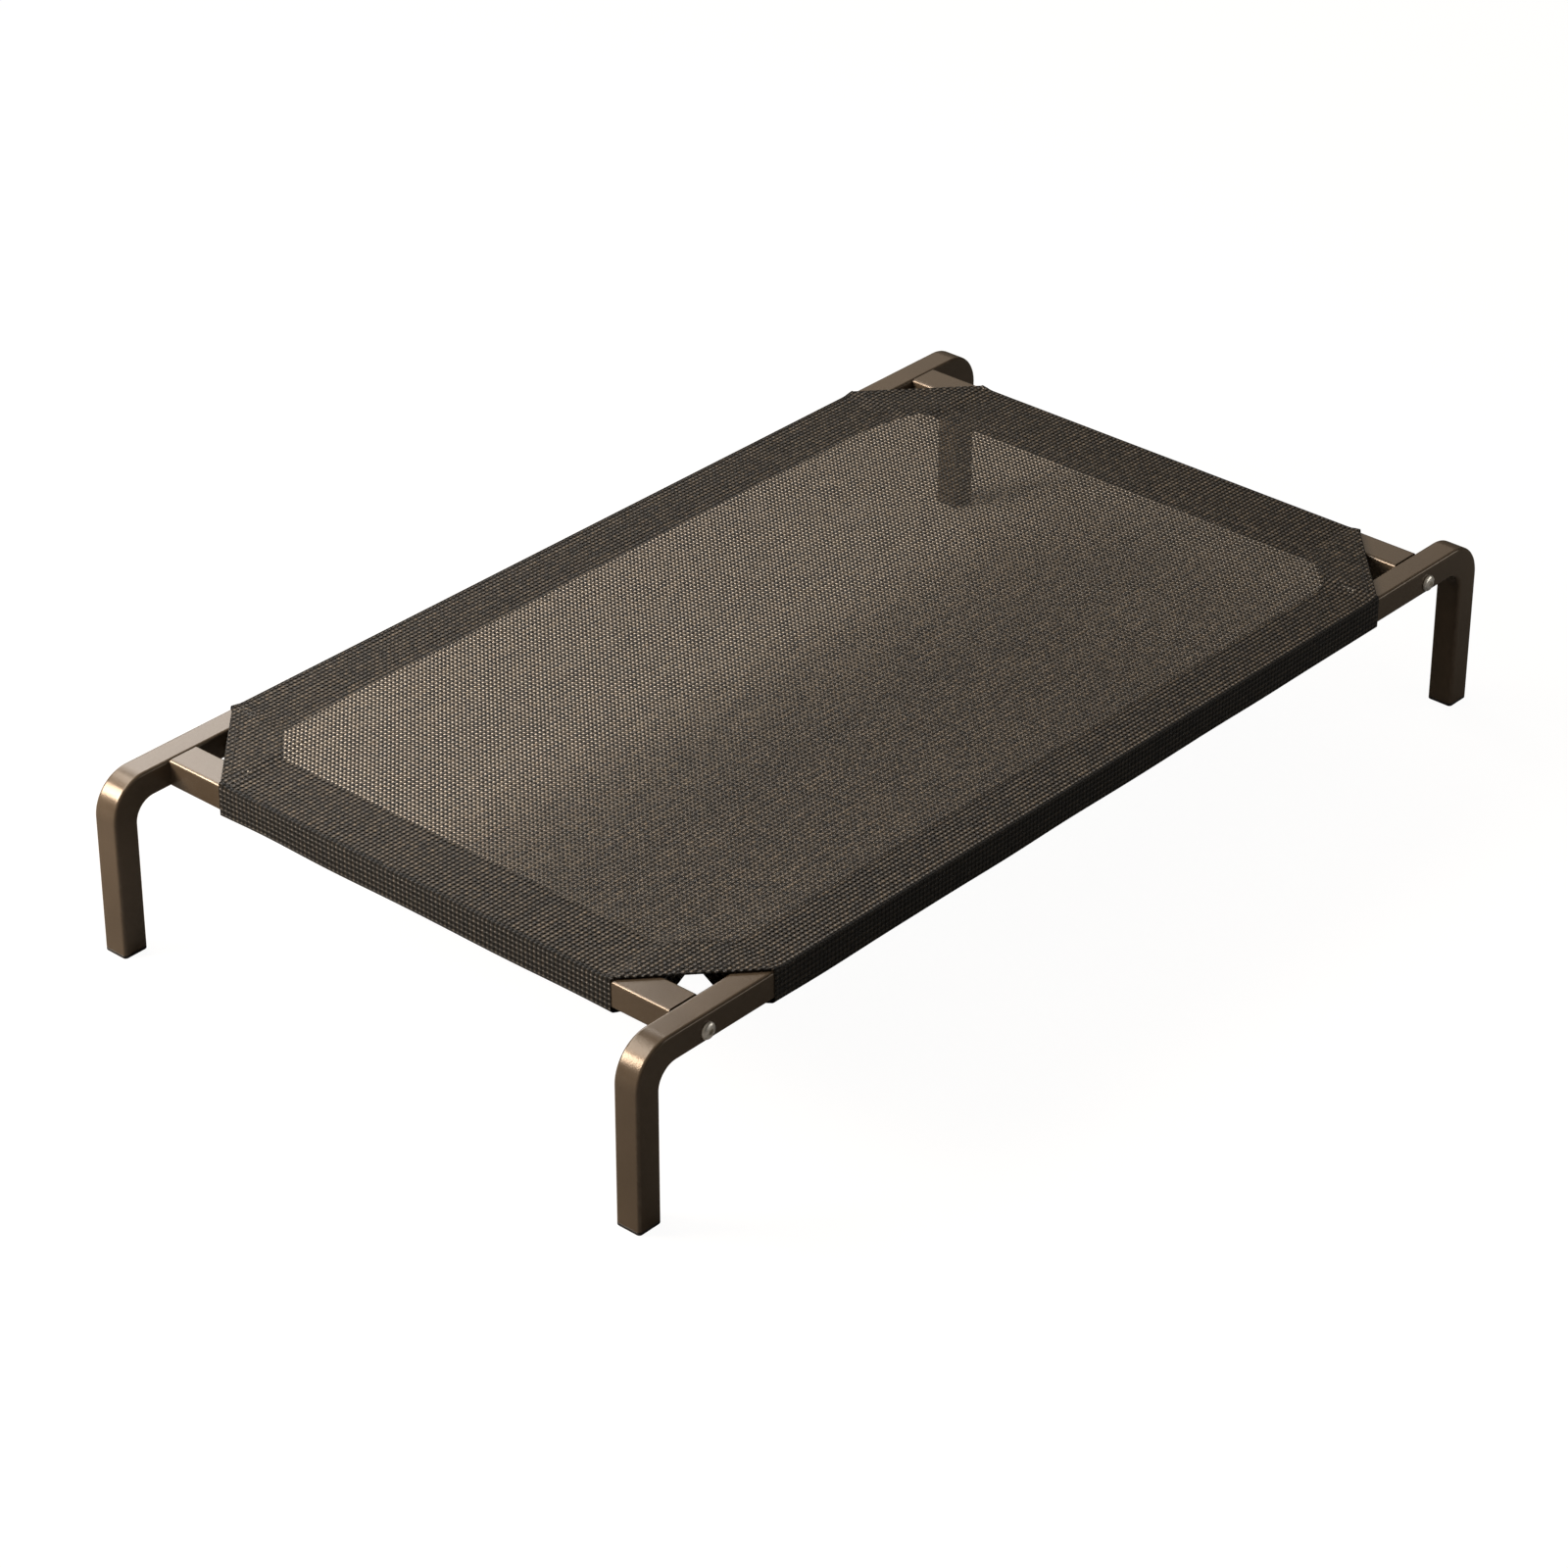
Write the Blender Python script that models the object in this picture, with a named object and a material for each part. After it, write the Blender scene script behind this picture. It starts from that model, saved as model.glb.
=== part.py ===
"""Raised pet bed: two bent side rails with legs, two bolted cross rails, and a mesh cloth on sleeves.

Metres, +Z up. The origin is on the floor under the middle of the bed, +X runs along the long sides
and +Y along the short ones. Front is -Y, left is -X.
"""

from math import cos, pi, sin

import bmesh
import bpy
from mathutils import Vector

# Frame
LENGTH = 1.100  # over the outer faces of the legs, along X
WIDTH = 0.606  # over the outer faces of the side rails, along Y
HEIGHT = 0.165  # floor to the top of the rails
TUBE = 0.025  # square tube of the side rails and legs
CROSS_WIDE = 0.032  # rectangular tube of the cross rails, along X
CROSS_HIGH = 0.025
WALL = 0.0015
EDGE_RADIUS = 0.003  # rounded long edges of every tube
BEND_OUTER = 0.036  # side rail into leg, outer face
BEND_INNER = 0.019  # the same bend, inner face
CROSS_X = 0.472  # middle of each cross rail

# Fasteners
BOLT_Z = 0.150
BOLT_RADIUS = 0.004
BOLT_LENGTH = 0.041  # under the head
BOLT_CHAMFER = 0.001  # at the tip
HEAD_RADIUS = 0.0075
HEAD_HIGH = 0.0042
HEAD_RIM = 0.0008  # straight rim below the dome
SOCKET_ACROSS = 0.005  # hexagon socket, across its flats
SOCKET_DEEP = 0.0024
HOLE_RADIUS = 0.0045
PLATE_THICK = 0.003
NUT_ACROSS = 0.013
NUT_THICK = 0.0065

# Feet
FLANGE_THICK = 0.003
FLANGE_EDGE = 0.0011  # rounding round the sole
FOOT_CORNER = 0.0018  # cut off each upright corner
PLUG_DEEP = 0.016
PLUG_FINS = 3
FIN_HIGH = 0.0012

# Cloth
CLOTH = 0.0012
CUT_X = 0.396  # the cut corner meets the outer top edge of a side rail here
CUT_Y = 0.218  # and the outer top edge of a cross rail here
SLEEVE_HANG = 0.0045  # how far a sleeve hangs below its rail, at the outer edge
SLEEVE_TUCK = 0.0015  # and at the rail's inner edge, where it turns up to the seam
HEM_CLEAR = 0.0008  # between a corner hem and the rails and sleeves round it
SEAM_X = 0.425  # inner edge of the double border, along the short sides
SEAM_Y = 0.255  # and along the long sides
SEAM_CUT = 0.044  # the border's inner outline cuts its corners by this much

GAP = 0.0003  # between pieces that touch
PAST = 0.01  # how far a cutter runs past a face that it opens
TINY = 1e-6  # two coordinates closer than this are the same
ARC_STEPS = 12
DOME_STEPS = 6
SOLE_STEPS = 3
ROUND_STEPS = 32
SMOOTH_ANGLE = 0.6  # edges sharper than this stay sharp, in radians

SIDES = {"front": -1, "back": 1}
ENDS = {"left": -1, "right": 1}


def clear_scene():
    for obj in list(bpy.data.objects):
        bpy.data.objects.remove(obj, do_unlink=True)


def material(name, colour, roughness, metallic):
    """A Principled material with one colour."""
    made = bpy.data.materials.new(name)
    made.use_nodes = True
    shader = made.node_tree.nodes["Principled BSDF"]
    shader.inputs["Base Color"].default_value = (*colour, 1.0)
    shader.inputs["Roughness"].default_value = roughness
    shader.inputs["Metallic"].default_value = metallic
    return made


def add_object(name, bm, mat, parent, smooth=False):
    """Turns a bmesh into a named object under its parent."""
    bmesh.ops.recalc_face_normals(bm, faces=bm.faces)
    mesh = bpy.data.meshes.new(name)
    bm.to_mesh(mesh)
    bm.free()
    if smooth:
        mesh.shade_smooth()
        mesh.set_sharp_from_angle(angle=SMOOTH_ANGLE)
    if mat:
        mesh.materials.append(mat)
    obj = bpy.data.objects.new(name, mesh)
    bpy.context.scene.collection.objects.link(obj)
    obj.parent = parent
    return obj


def prism(outline, direction):
    """A closed solid: a flat outline of 3-D points, extruded along a vector."""
    bm = bmesh.new()
    face = bm.faces.new([bm.verts.new(point) for point in outline])
    grown = bmesh.ops.extrude_face_region(bm, geom=[face])
    moved = [item for item in grown["geom"] if isinstance(item, bmesh.types.BMVert)]
    bmesh.ops.translate(bm, vec=Vector(direction), verts=moved)
    bmesh.ops.recalc_face_normals(bm, faces=bm.faces)
    return bm


def block(size, centre=(0, 0, 0)):
    """A box as a bmesh."""
    x, y, z = (side / 2 for side in size)
    corners = [(-x, -y, -z), (x, -y, -z), (x, y, -z), (-x, y, -z)]
    bm = prism(corners, (0, 0, size[2]))
    bmesh.ops.translate(bm, vec=Vector(centre), verts=bm.verts)
    return bm


def round_edges(bm, chosen, radius, segments=3):
    """Rounds the edges that a test picks."""
    edges = [edge for edge in bm.edges if chosen(edge)]
    bmesh.ops.bevel(
        bm,
        geom=edges,
        offset=radius,
        offset_type="OFFSET",
        segments=segments,
        profile=0.5,
        affect="EDGES",
    )
    return bm


def cylinder(radius, x, z, reach):
    """A cylinder along Y about the line at x and z, from y = -reach to y = reach."""
    turns = [2 * pi * i / ROUND_STEPS for i in range(ROUND_STEPS)]
    ring = [(x + radius * cos(turn), -reach, z + radius * sin(turn)) for turn in turns]
    return prism(ring, (0, 2 * reach, 0))


def cut(obj, cutter_bm, name, parent):
    """Takes a cutter's shape out of an object with a Boolean, and hides the cutter."""
    cutter = add_object(f"cutter_{name}", cutter_bm, None, parent)
    cutter.hide_render = True
    cutter.display_type = "WIRE"
    boolean = obj.modifiers.new(f"cut_{name}", "BOOLEAN")
    boolean.operation = "DIFFERENCE"
    boolean.solver = "EXACT"
    boolean.object = cutter


def arc(centre_x, centre_z, radius, start, end):
    """Points of an arc in the XZ plane, angles in radians."""
    return [
        (
            centre_x + radius * cos(start + (end - start) * i / ARC_STEPS),
            centre_z + radius * sin(start + (end - start) * i / ARC_STEPS),
        )
        for i in range(ARC_STEPS + 1)
    ]


def rail_outline(inset, foot_z):
    """The U of a side rail seen from the side, moved inwards all round by inset."""
    half = LENGTH / 2 - inset
    top = HEIGHT - inset
    outer = BEND_OUTER - inset
    inner = BEND_INNER + inset
    inner_half = LENGTH / 2 - TUBE + inset
    inner_top = HEIGHT - TUBE + inset
    over = arc(-(half - outer), top - outer, outer, pi, pi / 2)
    over += arc(half - outer, top - outer, outer, pi / 2, 0)
    under = arc(inner_half - inner, inner_top - inner, inner, 0, pi / 2)
    under += arc(-(inner_half - inner), inner_top - inner, inner, pi / 2, pi)
    ends = [(half, foot_z), (inner_half, foot_z)]
    return [(-half, foot_z), *over, *ends, *under, (-inner_half, foot_z)]


def rail_solid(inset, foot_z, radius):
    """A side rail's outside or its hollow, centred on y = 0, with its long edges rounded."""
    half_thick = TUBE / 2 - inset
    outline = [(x, -half_thick, z) for x, z in rail_outline(inset, foot_z)]
    bm = prism(outline, (0, 2 * half_thick, 0))

    def on_side(edge):
        first, second = edge.verts
        along = abs(first.co.y - second.co.y) < TINY
        at_foot = max(first.co.z, second.co.z) < foot_z + TINY
        return along and not at_foot

    return round_edges(bm, on_side, radius)


def build_side_rails(mat, parent):
    """One bent tube on each long side, whose ends turn down into legs."""
    leg_bottom = FLANGE_THICK + GAP
    for side, sign in SIDES.items():
        y = sign * (WIDTH - TUBE) / 2
        rail = add_object(f"side_rail_{side}", rail_solid(0, leg_bottom, EDGE_RADIUS), mat, parent, True)
        rail.location.y = y
        hollow = rail_solid(WALL, leg_bottom - PAST, EDGE_RADIUS - WALL)
        cut(rail, hollow, f"hollow_{side}", rail)
        for end, end_sign in ENDS.items():
            hole = cylinder(HOLE_RADIUS, end_sign * CROSS_X, BOLT_Z, TUBE)
            cut(rail, hole, f"bolt_hole_{side}_{end}", rail)


def along_y(edge):
    first, second = edge.verts
    return abs(first.co.x - second.co.x) < TINY and abs(first.co.z - second.co.z) < TINY


def build_cross_rails(mat, parent):
    """A straight rectangular tube across each end, butted against the side rails."""
    length = WIDTH - 2 * TUBE - 2 * GAP
    for end, sign in ENDS.items():
        outside = round_edges(block((CROSS_WIDE, length, CROSS_HIGH)), along_y, EDGE_RADIUS)
        rail = add_object(f"cross_rail_{end}", outside, mat, parent, True)
        rail.location = (sign * CROSS_X, 0, HEIGHT - CROSS_HIGH / 2)
        inside = block((CROSS_WIDE - 2 * WALL, length + 2 * PAST, CROSS_HIGH - 2 * WALL))
        cut(rail, round_edges(inside, along_y, EDGE_RADIUS - WALL), f"hollow_{end}", rail)


def turned_about_y(profile):
    """Spins (distance from the axis, y) points about the Y axis into a closed solid."""
    bm = bmesh.new()
    rings = []
    for radius, y in profile:
        if radius == 0:
            rings.append([bm.verts.new((0, y, 0))])
            continue
        turns = [2 * pi * i / ROUND_STEPS for i in range(ROUND_STEPS)]
        rings.append([bm.verts.new((radius * cos(a), y, radius * sin(a))) for a in turns])
    for first, second in zip(rings, rings[1:]):
        for i in range(ROUND_STEPS):
            j = (i + 1) % ROUND_STEPS
            corners = [first[i % len(first)], first[j % len(first)]]
            corners += [second[j % len(second)], second[i % len(second)]]
            bm.faces.new(list(dict.fromkeys(corners)))
    bmesh.ops.recalc_face_normals(bm, faces=bm.faces)
    return bm


def bolt_profile():
    """Domed head, shank and a chamfered tip, pointing along +Y from the seat of the head."""
    dome_high = HEAD_HIGH - HEAD_RIM
    turns = [pi / 2 * i / DOME_STEPS for i in range(DOME_STEPS + 1)]
    dome = [(HEAD_RADIUS * sin(turn), -HEAD_RIM - dome_high * cos(turn)) for turn in turns]
    shank = [
        (HEAD_RADIUS, 0),
        (BOLT_RADIUS, 0),
        (BOLT_RADIUS, BOLT_LENGTH - BOLT_CHAMFER),
        (BOLT_RADIUS - BOLT_CHAMFER, BOLT_LENGTH),
        (0, BOLT_LENGTH),
    ]
    return dome + shank


def hexagon(across, y):
    """A hexagon about the Y axis, by the distance across its flats."""
    radius = across / 2 / cos(pi / 6)
    return [(radius * cos(pi / 3 * i), y, radius * sin(pi / 3 * i)) for i in range(6)]


def build_fasteners(bolt_mat, plate_mat, parent):
    """At each corner a bolt through the side rail into a plate and a weld nut in the cross rail."""
    inner_face = WIDTH / 2 - TUBE
    plate_size = (CROSS_WIDE - 2 * WALL - 2 * GAP, PLATE_THICK, CROSS_HIGH - 2 * WALL - 2 * GAP)
    drop = BOLT_Z - (HEIGHT - CROSS_HIGH / 2)
    for side, side_sign in SIDES.items():
        turn = 0 if side_sign < 0 else pi
        for end, end_sign in ENDS.items():
            corner = f"{side}_{end}"
            x = end_sign * CROSS_X

            bolt = add_object(f"bolt_{corner}", turned_about_y(bolt_profile()), bolt_mat, parent, True)
            bolt.location = (x, side_sign * (WIDTH / 2 + GAP), BOLT_Z)
            bolt.rotation_euler.z = turn
            socket = prism(hexagon(SOCKET_ACROSS, -HEAD_HIGH - PAST), (0, SOCKET_DEEP + PAST, 0))
            cut(bolt, socket, f"socket_{corner}", bolt)

            plate_bm = round_edges(block(plate_size), along_y, EDGE_RADIUS - WALL)
            plate = add_object(f"end_plate_{corner}", plate_bm, plate_mat, parent)
            plate_y = inner_face - 2 * GAP - PLATE_THICK / 2
            plate.location = (x, side_sign * plate_y, HEIGHT - CROSS_HIGH / 2)
            hole = cylinder(HOLE_RADIUS, 0, drop, PLATE_THICK)
            cut(plate, hole, f"plate_hole_{corner}", plate)

            nut_bm = prism(hexagon(NUT_ACROSS, -NUT_THICK / 2), (0, NUT_THICK, 0))
            nut = add_object(f"weld_nut_{corner}", nut_bm, plate_mat, parent)
            nut_y = plate_y - PLATE_THICK / 2 - GAP - NUT_THICK / 2
            nut.location = (x, side_sign * nut_y, BOLT_Z)
            bore = cylinder(BOLT_RADIUS + GAP, 0, 0, NUT_THICK)
            cut(nut, bore, f"nut_bore_{corner}", nut)


def square_stack(levels):
    """A closed solid of square sections with cut corners, from (z, half side) levels."""
    bm = bmesh.new()
    rings = []
    for z, half in levels:
        near = half - FOOT_CORNER
        right = [(near, -half), (half, -near), (half, near), (near, half)]
        left = [(-x, -y) for x, y in right]
        rings.append([bm.verts.new((x, y, z)) for x, y in right + left])
    for first, second in zip(rings, rings[1:]):
        for i in range(len(first)):
            j = (i + 1) % len(first)
            bm.faces.new((first[i], first[j], second[j], second[i]))
    bm.faces.new(reversed(rings[0]))
    bm.faces.new(rings[-1])
    return bm


def foot_levels():
    """A flat sole with a rounded edge, then a finned plug that sits inside the leg."""
    half = TUBE / 2
    turns = [pi / 2 * i / SOLE_STEPS for i in range(SOLE_STEPS + 1)]
    sole = [(FLANGE_EDGE * (1 - cos(turn)), half - FLANGE_EDGE * (1 - sin(turn))) for turn in turns]
    sole.append((FLANGE_THICK, half))
    fin_half = half - WALL - GAP
    core_half = fin_half - FIN_HIGH
    pitch = PLUG_DEEP / PLUG_FINS
    plug = [(FLANGE_THICK, core_half)]
    for fin in range(PLUG_FINS):
        middle = FLANGE_THICK + pitch * (fin + 0.5)
        plug.append((middle - FIN_HIGH, core_half))
        plug.append((middle - FIN_HIGH / 2, fin_half))
        plug.append((middle + FIN_HIGH / 2, fin_half))
        plug.append((middle + FIN_HIGH, core_half))
    plug.append((FLANGE_THICK + PLUG_DEEP, core_half))
    return sole + plug


def build_feet(mat, parent):
    """A moulded plug closes the bottom of each leg."""
    for side, side_sign in SIDES.items():
        for end, end_sign in ENDS.items():
            foot = add_object(f"foot_cap_{side}_{end}", square_stack(foot_levels()), mat, parent)
            foot.location = (end_sign * (LENGTH - TUBE) / 2, side_sign * (WIDTH - TUBE) / 2, 0)


def build_panel(mat, parent):
    """The sleeping surface: one sheet over all four rails, with its corners cut off."""
    reach_x = CROSS_X + CROSS_WIDE / 2 + GAP + CLOTH
    reach_y = WIDTH / 2 + GAP + CLOTH
    quarter = [(reach_x, CUT_Y), (CUT_X, reach_y)]
    outline = quarter + [(-x, y) for x, y in reversed(quarter)]
    outline += [(-x, -y) for x, y in outline]
    bottom = HEIGHT + GAP
    add_object("mesh_panel", prism([(x, y, bottom) for x, y in outline], (0, 0, CLOTH)), mat, parent)


def sleeve_section(outer, inner, seam):
    """The U of a sleeve round a rail, as (distance from the middle of the bed, z) points.

    outer and inner are the rail's faces, seam is where the sleeve's under layer meets the panel.
    """
    far = outer + GAP
    top = HEIGHT - GAP
    under = HEIGHT - TUBE - SLEEVE_HANG
    turn = inner - SLEEVE_TUCK
    tuck = HEIGHT - TUBE - SLEEVE_TUCK
    return [
        (far, top),
        (far, under + CLOTH),
        (turn, tuck),
        (seam + CLOTH, top),
        (seam, top),
        (turn - CLOTH / 2, tuck - CLOTH),
        (far + CLOTH, under),
        (far + CLOTH, top),
    ]


def build_sleeves(mat, parent):
    """Each side of the cloth goes down over its rail, back under it and up to the seam."""
    long_section = sleeve_section(WIDTH / 2, WIDTH / 2 - TUBE, SEAM_Y)
    for side, sign in SIDES.items():
        outline = [(-CUT_X, sign * out, z) for out, z in long_section]
        add_object(f"sleeve_{side}", prism(outline, (2 * CUT_X, 0, 0)), mat, parent)
    cross_outer = CROSS_X + CROSS_WIDE / 2
    short_section = sleeve_section(cross_outer, cross_outer - CROSS_WIDE, SEAM_X)
    for end, sign in ENDS.items():
        outline = [(sign * out, -CUT_Y, z) for out, z in short_section]
        add_object(f"sleeve_{end}", prism(outline, (0, 2 * CUT_Y, 0)), mat, parent)


def build_corner_hems(mat, parent):
    """The second layer under each cut corner of the panel, between the two rails."""
    far_x = CROSS_X - CROSS_WIDE / 2 - HEM_CLEAR
    far_y = WIDTH / 2 - TUBE - HEM_CLEAR
    near_x = CUT_X + HEM_CLEAR
    near_y = CUT_Y + HEM_CLEAR
    reach_x = CROSS_X + CROSS_WIDE / 2
    slope = (WIDTH / 2 - CUT_Y) / (reach_x - CUT_X)

    def cut_y(x):
        return WIDTH / 2 - (x - CUT_X) * slope

    def cut_x(y):
        return CUT_X + (WIDTH / 2 - y) / slope

    inner_sum = SEAM_X + SEAM_Y - SEAM_CUT
    outline = [
        (near_x, far_y),
        (cut_x(far_y), far_y),
        (far_x, cut_y(far_x)),
        (far_x, near_y),
        (inner_sum - near_y, near_y),
        (near_x, inner_sum - near_x),
    ]
    for side, side_sign in SIDES.items():
        for end, end_sign in ENDS.items():
            points = [(end_sign * x, side_sign * y, HEIGHT - CLOTH) for x, y in outline]
            add_object(f"corner_hem_{side}_{end}", prism(points, (0, 0, CLOTH)), mat, parent)


def build_bed():
    clear_scene()
    bed = bpy.data.objects.new("dog_bed", None)
    bpy.context.scene.collection.objects.link(bed)
    bronze = material("bronze_paint", (0.085, 0.062, 0.045), 0.38, 0.6)
    zinc = material("zinc_plate", (0.62, 0.60, 0.56), 0.32, 1.0)
    steel = material("plain_steel", (0.35, 0.34, 0.33), 0.45, 1.0)
    plastic = material("black_plastic", (0.018, 0.016, 0.015), 0.55, 0.0)
    cloth = material("brown_mesh_cloth", (0.11, 0.092, 0.072), 0.8, 0.0)
    build_side_rails(bronze, bed)
    build_cross_rails(bronze, bed)
    build_fasteners(zinc, steel, bed)
    build_feet(plastic, bed)
    build_panel(cloth, bed)
    build_sleeves(cloth, bed)
    build_corner_hems(cloth, bed)


build_bed()
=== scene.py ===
import math
import random
from math import cos, pi, sin

import bmesh
import bpy
import numpy as np
from mathutils import Matrix, Vector


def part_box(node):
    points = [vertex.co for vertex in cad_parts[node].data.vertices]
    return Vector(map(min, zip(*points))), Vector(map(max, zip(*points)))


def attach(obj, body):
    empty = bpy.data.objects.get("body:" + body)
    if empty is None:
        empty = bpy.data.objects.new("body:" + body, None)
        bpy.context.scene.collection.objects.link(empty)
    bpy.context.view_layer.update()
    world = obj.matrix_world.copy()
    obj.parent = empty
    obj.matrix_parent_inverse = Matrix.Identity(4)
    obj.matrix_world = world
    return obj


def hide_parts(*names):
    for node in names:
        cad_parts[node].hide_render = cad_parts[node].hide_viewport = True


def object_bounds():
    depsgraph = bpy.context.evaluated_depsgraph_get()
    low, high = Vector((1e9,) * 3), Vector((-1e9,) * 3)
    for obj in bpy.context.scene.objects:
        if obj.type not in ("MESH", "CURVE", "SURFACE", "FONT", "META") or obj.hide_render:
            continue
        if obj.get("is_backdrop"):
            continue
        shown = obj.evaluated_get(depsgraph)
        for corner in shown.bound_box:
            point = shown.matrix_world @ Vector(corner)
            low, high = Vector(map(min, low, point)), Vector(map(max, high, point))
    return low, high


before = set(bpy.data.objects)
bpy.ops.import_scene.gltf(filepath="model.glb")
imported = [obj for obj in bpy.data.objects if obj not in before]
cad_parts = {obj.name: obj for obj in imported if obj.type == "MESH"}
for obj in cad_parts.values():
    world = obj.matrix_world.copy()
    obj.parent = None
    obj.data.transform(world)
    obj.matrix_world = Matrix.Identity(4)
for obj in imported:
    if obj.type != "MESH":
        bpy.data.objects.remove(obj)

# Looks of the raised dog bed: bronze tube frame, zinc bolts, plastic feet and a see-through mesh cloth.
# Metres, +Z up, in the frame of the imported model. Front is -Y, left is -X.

CAD_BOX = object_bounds()
SIDES = {"front": -1, "back": 1}
ENDS = {"left": -1, "right": 1}

# Frame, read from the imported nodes
RAIL_LOW, RAIL_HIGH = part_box("side_rail_back")
CROSS_LOW, CROSS_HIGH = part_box("cross_rail_right")
BOLT_LOW, BOLT_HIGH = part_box("bolt_back_right")
HALF_LENGTH = RAIL_HIGH.x
HALF_WIDTH = RAIL_HIGH.y
HEIGHT = RAIL_HIGH.z
TUBE = RAIL_HIGH.y - RAIL_LOW.y
LEG_BOTTOM = RAIL_LOW.z
FOOT_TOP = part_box("foot_cap_back_right")[1].z
CROSS_X = (CROSS_LOW.x + CROSS_HIGH.x) / 2
CROSS_WIDE = CROSS_HIGH.x - CROSS_LOW.x
CROSS_TALL = CROSS_HIGH.z - CROSS_LOW.z
BOLT_X = (BOLT_LOW.x + BOLT_HIGH.x) / 2
BOLT_Z = (BOLT_LOW.z + BOLT_HIGH.z) / 2

# Frame, the sizes that a box doesn't give
WALL = 0.0015
EDGE_RADIUS = 0.003
BEND_OUTER = 0.036
BEND_INNER = 0.019
EDGE_STEPS = 6
BEND_STEPS = 28

# Cloth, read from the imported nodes
CUT_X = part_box("sleeve_back")[1].x  # half length of the long sleeves, where the corner cut starts
CUT_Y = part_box("sleeve_right")[1].y  # and of the short ones
SEAM_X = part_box("sleeve_right")[0].x  # the seam that closes the sleeves, seen from above
SEAM_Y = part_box("sleeve_back")[0].y
SLEEVE_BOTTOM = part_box("sleeve_back")[0].z

# Cloth, the sizes that a box doesn't give
THICK = 0.0010
CLEAR = 0.0002  # between the cloth and what it lies on
LAY = HEIGHT + CLEAR + THICK / 2  # middle of the cloth where it lies on a rail
WRAP = 0.0022  # radius of the cloth round a rail's outer edge, at the top
TURN_UNDER = 0.0022  # at the bottom
TURN_UP = 0.004  # at the rail's inner edge, where the under layer turns up to the seam
TURN_LAP = 0.003  # and at the seam, where it flattens into the lap
TUCK = 0.0016  # clearance of the under layer at a rail's inner edge
SWAY = 0.0005  # how uneven a sleeve's lower edge is
SWAY_FROM = 0.006  # how far down its side that starts
SEAM_CUT = 0.044  # how much the seam cuts off its corners
SEAM_ROUND = 0.030  # and the radius of the two bends there
SAG = 0.0025
RIPPLE = 0.00022
RIPPLE_WAVES = 9
SWAY_WAVES = 5
DOUBLE = 0.0020  # how much the second layer lifts the panel at its cut corners
LIFT_RAMP = 0.012
LAP = 0.008  # flat seam allowance under the panel
UNDER_REACH = 0.022  # how much further than its outside a sleeve's under layer goes at each end

# Weave. Widths are over the pitch, and depths and heights over a cord's half thickness
RIB_PITCH = 0.00465  # cords along X, spaced along Y
YARN_PITCH = 0.0046  # cross yarns along Y, spaced along X
RIB_HALF = 0.345  # half a cord's width
YARN_HALF = 0.30  # half a cross yarn's width
SWELL = 0.32  # how far a cord rises over each cross yarn, and sinks between them
YARN_DEPTH = 0.75  # how far the cross yarns lie below the cords
NOTHING = -2.0  # the height where there is no yarn
YARN_TILT = 0.75  # how steep a cross yarn's sides look
SWELL_TILT = 0.75  # the slopes along a cord
RIB_TILT = 0.80  # and a cord's sides

# Most of a noise's values lie between these
NOISE_LOW = 0.3
NOISE_HIGH = 0.7

# Colours, linear
PAINT_DARK = (0.104, 0.077, 0.051, 1)
PAINT_PALE = (0.130, 0.096, 0.064, 1)
PAINT_FLAKE = (0.19, 0.16, 0.135, 1)
# pale paint for the rounded edges: part wear, part painted highlight
PAINT_EDGE_WEAR_AND_HIGHLIGHT = (0.24, 0.19, 0.15, 1)
ZINC_DARK = (0.90, 0.87, 0.80, 1)
ZINC_PALE = (0.98, 0.96, 0.90, 1)
STEEL_DARK = (0.30, 0.29, 0.28, 1)
STEEL_PALE = (0.42, 0.41, 0.40, 1)
PLASTIC = (0.014, 0.012, 0.011, 1)
PLASTIC_WORN = (0.060, 0.054, 0.048, 1)
CORD_DARK = (0.0385, 0.0296, 0.0197, 1)
CORD_PALE = (0.058, 0.0443, 0.0294, 1)
CROSS_YARN = CORD_DARK
THREAD_DARK = (0.022, 0.019, 0.015, 1)
THREAD_PALE = (0.052, 0.046, 0.036, 1)
PAPER_DARK = (0.80, 0.72, 0.625, 1)
PAPER_PALE = (0.82, 0.74, 0.645, 1)


def smoothstep(low, high, value):
    share = np.clip((np.asarray(value, float) - low) / (high - low), 0, 1)
    return share * share * (3 - 2 * share)


# ---------------------------------------------------------------- materials

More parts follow.
